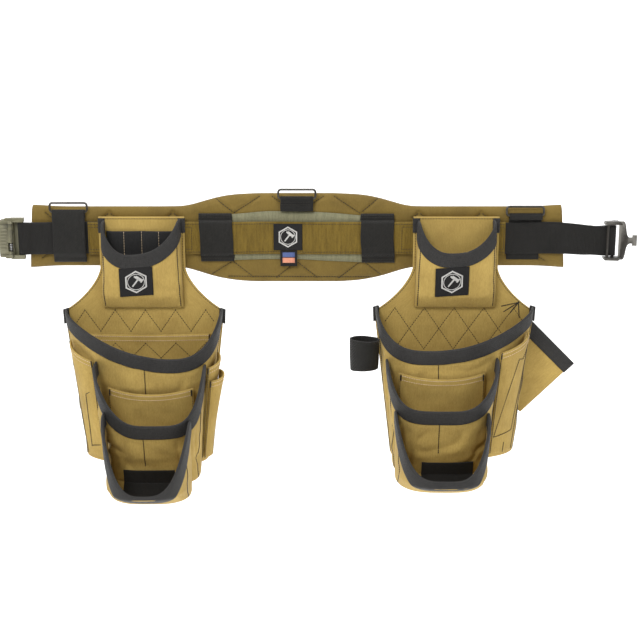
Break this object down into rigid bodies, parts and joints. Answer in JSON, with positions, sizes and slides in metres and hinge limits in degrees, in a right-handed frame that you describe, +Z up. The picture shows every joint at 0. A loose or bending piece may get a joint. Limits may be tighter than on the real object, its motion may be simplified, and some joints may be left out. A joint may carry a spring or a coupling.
{
  "type": "tool belt",
  "caption": "Padded carpenter's tool belt with a quick-release waist strap, suspender rings and sliding canvas nail bags with hammer loop and square pocket.",
  "frame": {"origin": "centre of the padded belt's back face, where it rests against the wearer's back", "axes": "+X along the belt, +Z up as worn, -Y out of the front, away from the wearer"},
  "size_m": [0.954, 0.2126, 0.4444],
  "materials": {
    "canvas": "plain-woven coated nylon canvas, coyote tan",
    "tan_webbing": "ribbed nylon webbing, coyote tan",
    "grey_green_webbing": "ribbed nylon webbing, grey-green",
    "black_webbing": "nylon webbing, black",
    "binding_tape": "folded nylon binding tape, charcoal",
    "lining": "spacer mesh and lining, charcoal",
    "foam": "closed-cell foam",
    "label": "woven label, black with a plain white pictogram",
    "buckle_plastic": "moulded glass-filled nylon, olive",
    "blackened_steel": "blackened steel, worn satin",
    "spring_steel": "bright spring wire"
  },
  "bodies": {
    "padded_belt": {"pad_back_lining": "lining", "pad_foam": "foam", "pad_front_cover": "canvas", "pad_centre_strip": "grey_green_webbing", "centre_band_left": "black_webbing", "centre_band_right": "black_webbing", "end_band_left": "black_webbing", "end_band_right": "black_webbing", "centre_ring_tab": "black_webbing", "webbing_facing": "tan_webbing", "belt_label": "label", "belt_tab": "label"},
    "left_ring": {"ring_left": "blackened_steel"},
    "centre_ring": {"ring_centre": "blackened_steel"},
    "right_ring": {"ring_right": "blackened_steel"},
    "waist_strap": {"waist_webbing": "black_webbing"},
    "buckle_receiver": {"receiver_body": "buckle_plastic", "lever_pin": "blackened_steel", "lever_spring": "spring_steel"},
    "buckle_lever": {"release_lever": "buckle_plastic"},
    "buckle_tab": {"tab_buckle": "blackened_steel", "tab_buckle_bar": "blackened_steel"},
    "left_pouch": {"left_back_panel": "canvas", "left_belt_tunnel": "canvas", "left_neck_pocket": "canvas", "left_neck_binding": "binding_tape", "left_neck_slots": "lining", "left_label": "label", "left_main_bag": "canvas", "left_main_binding": "binding_tape", "left_divider_pocket": "canvas", "left_middle_inner_pocket": "canvas", "left_middle_bag": "canvas", "left_middle_binding": "binding_tape", "left_front_bag": "canvas", "left_front_binding": "binding_tape", "left_tool_strap": "black_webbing", "left_slot_pocket": "canvas", "left_side_pocket_back": "canvas", "left_side_pocket_front": "canvas"},
    "right_pouch": {"right_back_panel": "canvas", "right_belt_tunnel": "canvas", "right_neck_pocket": "canvas", "right_neck_binding": "binding_tape", "right_label": "label", "right_main_bag": "canvas", "right_main_binding": "binding_tape", "right_middle_inner_pocket": "canvas", "right_middle_bag": "canvas", "right_middle_binding": "binding_tape", "right_front_bag": "canvas", "right_front_binding": "binding_tape", "right_tool_strap": "black_webbing", "right_slot_pocket": "canvas", "hammer_loop": "black_webbing", "right_square_pocket": "canvas", "right_square_binding": "binding_tape"}
  },
  "joints": [
    {"name": "left_ring_hinge", "type": "hinge", "parent": "padded_belt", "child": "left_ring", "pos_m": [-0.341, -0.016, 0.0395], "axis": [1, 0, 0], "range_deg": [-8, 150]},
    {"name": "centre_ring_hinge", "type": "hinge", "parent": "padded_belt", "child": "centre_ring", "pos_m": [0, -0.016, 0.0595], "axis": [1, 0, 0], "range_deg": [-8, 150]},
    {"name": "right_ring_hinge", "type": "hinge", "parent": "padded_belt", "child": "right_ring", "pos_m": [0.341, -0.016, 0.034], "axis": [1, 0, 0], "range_deg": [-8, 150]},
    {"name": "waist_strap_slide", "type": "slide", "parent": "padded_belt", "child": "waist_strap", "axis": [1, 0, 0], "range_m": [-0.02, 0.012]},
    {"name": "receiver_pivot", "type": "hinge", "parent": "waist_strap", "child": "buckle_receiver", "pos_m": [-0.413, -0.0186, 0], "axis": [0, 0, 1], "range_deg": [-35, 35]},
    {"name": "release_lever_pivot", "type": "hinge", "parent": "buckle_receiver", "child": "buckle_lever", "pos_m": [-0.427, -0.0262, 0], "axis": [0, 0, 1], "range_deg": [0, 35], "stiffness_Nm_per_rad": 0.02, "springref_deg": -20.05},
    {"name": "tab_buckle_pivot", "type": "hinge", "parent": "waist_strap", "child": "buckle_tab", "pos_m": [0.475, -0.0114, -0.004], "axis": [0, 0, 1], "range_deg": [-10, 20]},
    {"name": "left_pouch_slide", "type": "slide", "parent": "padded_belt", "child": "left_pouch", "axis": [1, 0, 0], "range_m": [-0.014, 0.018]},
    {"name": "right_pouch_slide", "type": "slide", "parent": "padded_belt", "child": "right_pouch", "axis": [1, 0, 0], "range_m": [-0.022, 0.008]}
  ]
}
